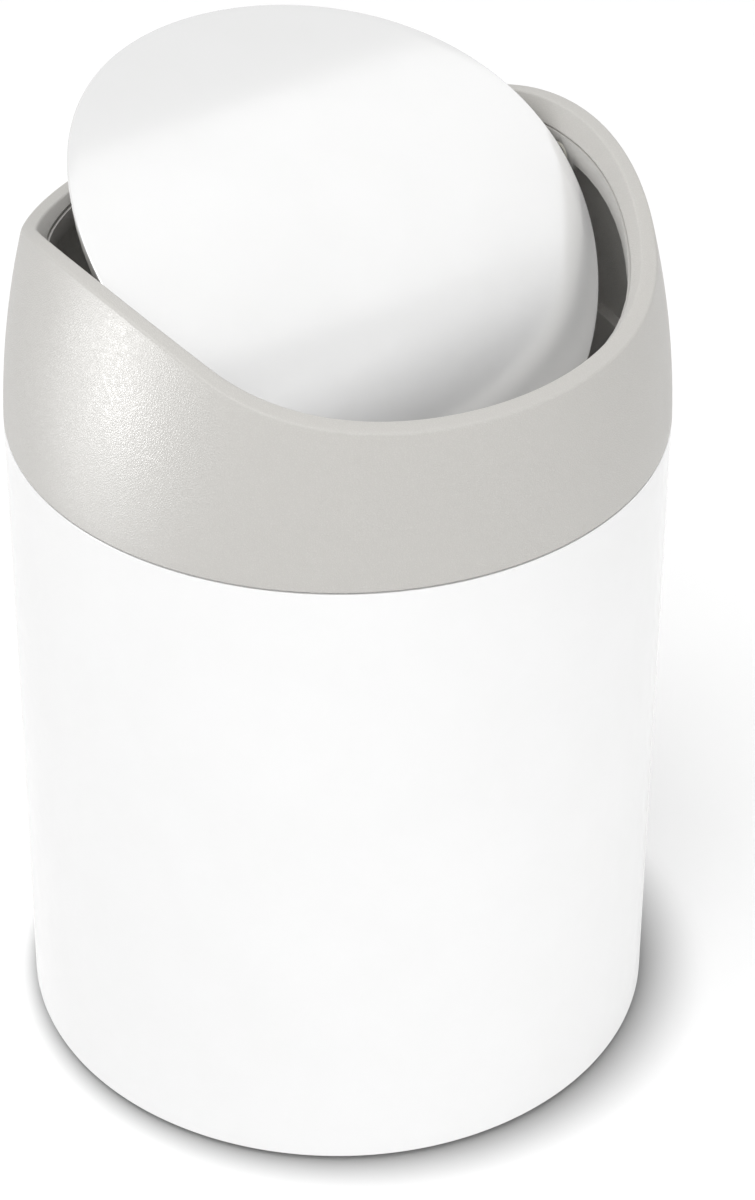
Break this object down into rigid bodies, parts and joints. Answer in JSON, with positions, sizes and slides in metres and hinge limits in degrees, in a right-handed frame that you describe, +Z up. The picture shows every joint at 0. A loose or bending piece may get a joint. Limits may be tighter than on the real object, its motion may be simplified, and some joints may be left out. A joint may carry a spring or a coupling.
{
  "type": "countertop trash can",
  "caption": "Small round steel countertop trash can with a lift-off grey collar, a bell-shaped rim and a weighted swing lid that pivots on two pins.",
  "frame": {"origin": "centre of the floor under the can, at the underside of the foot pads", "axes": "+Z up, X along the lid's pivot axis, front towards -Y"},
  "size_m": [0.125, 0.125, 0.1939],
  "materials": {
    "white_enamel": "smooth gloss white baked enamel on sheet steel",
    "grained_plastic": "warm light grey moulded plastic with a fine leather-like mould grain and a soft sheen",
    "smooth_plastic": "plain grey moulded plastic, smooth and satin",
    "liner_plastic": "plain light grey moulded plastic with ribs",
    "bush_plastic": "ivory acetal, smooth",
    "dark_plastic": "black moulded plastic, satin",
    "soft_pad": "soft dark grey elastomer",
    "plated_steel": "zinc-plated steel",
    "weight_steel": "dark phosphated steel bar"
  },
  "bodies": {
    "can": {"can_shell": "white_enamel", "base_plate": "plated_steel", "foot_ring": "dark_plastic", "foot_pads": "soft_pad"},
    "collar": {"collar_shell": "grained_plastic", "pivot_ring": "smooth_plastic", "pivot_bush_left": "bush_plastic", "pivot_bush_right": "bush_plastic"},
    "lid": {"lid_skin": "white_enamel", "lid_liner": "liner_plastic", "pivot_pin_left": "plated_steel", "pivot_pin_right": "plated_steel", "skin_studs": "plated_steel", "stud_clips": "plated_steel", "counterweight": "weight_steel", "weight_screws": "plated_steel"}
  },
  "joints": [
    {"name": "collar_lift", "type": "slide", "parent": "can", "child": "collar", "axis": [0, 0, 1], "range_m": [0, 0.05]},
    {"name": "lid_swing", "type": "hinge", "parent": "collar", "child": "lid", "pos_m": [0, 0, 0.172], "axis": [1, 0, 0], "range_deg": [-92.5, 27.5]}
  ]
}
